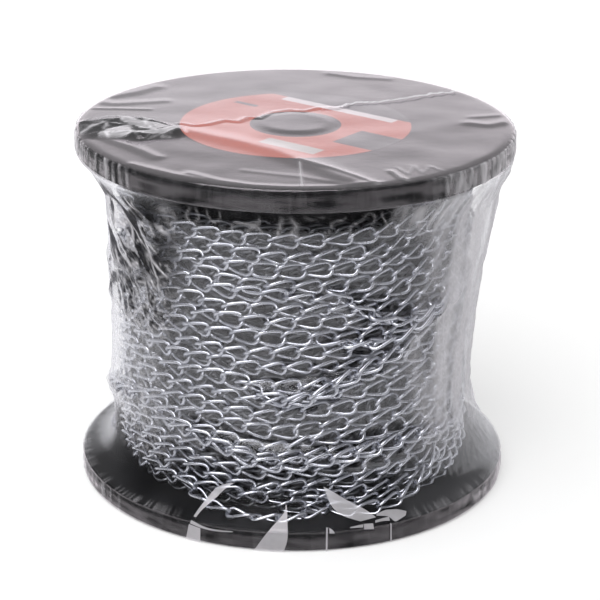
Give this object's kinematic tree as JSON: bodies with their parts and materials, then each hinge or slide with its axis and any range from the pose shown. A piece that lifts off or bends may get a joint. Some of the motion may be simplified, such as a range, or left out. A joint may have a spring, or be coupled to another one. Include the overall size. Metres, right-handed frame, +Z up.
{
  "type": "reel of steel chain",
  "caption": "Plastic reel full of zinc-plated twisted-link steel chain, with a round paper label on its upper flange, shrink-wrapped in clear film.",
  "frame": {"origin": "centre of the face that the wrapped reel stands on", "axes": "+Z up along the reel's axis"},
  "size_m": [0.2008, 0.2008, 0.1677],
  "materials": {
    "black_plastic": "moulded black plastic, satin",
    "zinc_plated_steel": "bright zinc plating on bent steel wire",
    "orange_paper": "orange-red printed paper with dark grey and white areas",
    "clear_film": "clear glossy shrink film, wrinkled and pleated"
  },
  "bodies": {
    "root": {"lower_flange": "black_plastic", "upper_flange": "black_plastic", "barrel": "black_plastic", "chain_inner_layers": "zinc_plated_steel", "chain_outer_layer": "zinc_plated_steel", "label": "orange_paper", "shrink_film": "clear_film"}
  },
  "joints": []
}
